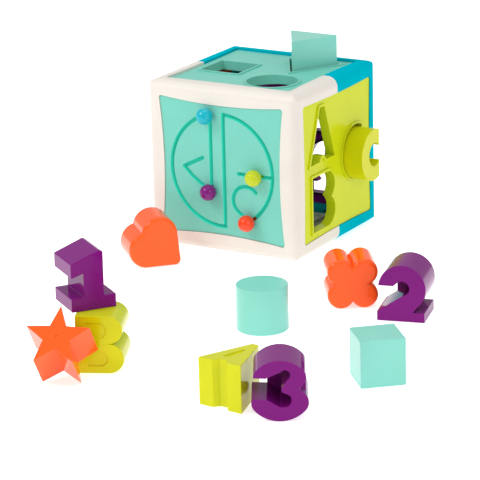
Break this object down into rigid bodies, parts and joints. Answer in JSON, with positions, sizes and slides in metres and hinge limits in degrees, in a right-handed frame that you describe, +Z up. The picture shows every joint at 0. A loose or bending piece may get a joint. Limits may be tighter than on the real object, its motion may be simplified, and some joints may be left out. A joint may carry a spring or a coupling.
{
  "type": "shape sorter",
  "caption": "Toddler's shape-sorting cube with bead maze, shaped hole panels, hinged trapdoor and loose letter, number and shape blocks.",
  "frame": {"origin": "middle of the cube's underside, on the plane that the cube and the blocks stand on", "axes": "+Z up; -Y out of the bead maze panel; +X out of the letter panel"},
  "size_m": [0.3924, 0.5515, 0.1874],
  "materials": {
    "ivory_plastic": "satin",
    "turquoise_plastic": "glossy",
    "aqua_plastic": "glossy",
    "deep_aqua_plastic": "glossy",
    "lime_plastic": "glossy",
    "purple_plastic": "glossy",
    "orange_plastic": "glossy",
    "screw_steel": "zinc plated"
  },
  "bodies": {
    "cube": {"front_frame": "ivory_plastic", "rear_frame": "turquoise_plastic", "maze_panel": "aqua_plastic", "maze_backplate": "deep_aqua_plastic", "maze_screws": "screw_steel", "letter_panel": "lime_plastic", "shape_panel": "aqua_plastic", "number_panel": "purple_plastic", "charm_panel": "orange_plastic", "frame_screws": "screw_steel", "door_pins": "screw_steel"},
    "trapdoor": {"trapdoor": "ivory_plastic"},
    "bead_turquoise": {"bead_turquoise": "turquoise_plastic"},
    "bead_purple": {"bead_purple": "purple_plastic"},
    "bead_lime": {"bead_lime": "lime_plastic"},
    "bead_orange": {"bead_orange": "orange_plastic"},
    "block_a": {"block_a": "lime_plastic"},
    "block_b": {"block_b": "lime_plastic"},
    "block_c": {"block_c": "lime_plastic"},
    "block_1": {"block_1": "purple_plastic"},
    "block_2": {"block_2": "purple_plastic"},
    "block_3": {"block_3": "purple_plastic"},
    "block_square": {"block_square": "aqua_plastic"},
    "block_circle": {"block_circle": "aqua_plastic"},
    "block_triangle": {"block_triangle": "aqua_plastic"},
    "block_heart": {"block_heart": "orange_plastic"},
    "block_star": {"block_star": "orange_plastic"},
    "block_flower": {"block_flower": "orange_plastic"}
  },
  "joints": [
    {"name": "trapdoor_hinge", "type": "hinge", "parent": "cube", "child": "trapdoor", "pos_m": [0, 0.061, 0.00375], "axis": [1, 0, 0], "range_deg": [0, 100]},
    {"name": "turquoise_bead_track", "type": "hinge", "parent": "cube", "child": "bead_turquoise", "pos_m": [0, -0.0862, 0.08], "axis": [0, -1, 0], "range_deg": [0, 167]},
    {"name": "orange_bead_track", "type": "hinge", "parent": "cube", "child": "bead_orange", "pos_m": [0, -0.0862, 0.08], "axis": [0, -1, 0], "range_deg": [0, 143]},
    {"name": "purple_bead_track", "type": "slide", "parent": "cube", "child": "bead_purple", "axis": [0, 0, 1], "range_m": [0, 0.052]},
    {"name": "lime_bead_track", "type": "slide", "parent": "cube", "child": "bead_lime", "axis": [-1, 0, 0], "range_m": [0, 0.019]},
    {"name": "letter_c_post", "type": "slide", "parent": "cube", "child": "block_c", "axis": [1, 0, 0], "range_m": [-0.042, 0.05]},
    {"name": "triangle_post", "type": "slide", "parent": "cube", "child": "block_triangle", "axis": [0, 0, 1], "range_m": [-0.041, 0.05]},
    {"name": "a_lift", "type": "slide", "parent": "cube", "child": "block_a", "axis": [0, 0, 1], "range_m": [0, 0.07]},
    {"name": "b_lift", "type": "slide", "parent": "cube", "child": "block_b", "axis": [0, 0, 1], "range_m": [0, 0.09]},
    {"name": "2_lift", "type": "slide", "parent": "cube", "child": "block_2", "axis": [0, 0, 1], "range_m": [0, 0.08]},
    {"name": "3_lift", "type": "slide", "parent": "cube", "child": "block_3", "axis": [0, 0, 1], "range_m": [0, 0.08]},
    {"name": "square_lift", "type": "slide", "parent": "cube", "child": "block_square", "axis": [0, 0, 1], "range_m": [0, 0.07]},
    {"name": "circle_lift", "type": "slide", "parent": "cube", "child": "block_circle", "axis": [0, 0, 1], "range_m": [0, 0.07]},
    {"name": "heart_lift", "type": "slide", "parent": "cube", "child": "block_heart", "axis": [0, 0, 1], "range_m": [0, 0.08]},
    {"name": "flower_lift", "type": "slide", "parent": "cube", "child": "block_flower", "axis": [0, 0, 1], "range_m": [0, 0.08]},
    {"name": "star_lift", "type": "slide", "parent": "cube", "child": "block_star", "axis": [0.3, -0.664, 0.685], "range_m": [0, 0.1]},
    {"name": "1_lift", "type": "slide", "parent": "block_b", "child": "block_1", "axis": [0, 0, 1], "range_m": [0, 0.08]}
  ]
}
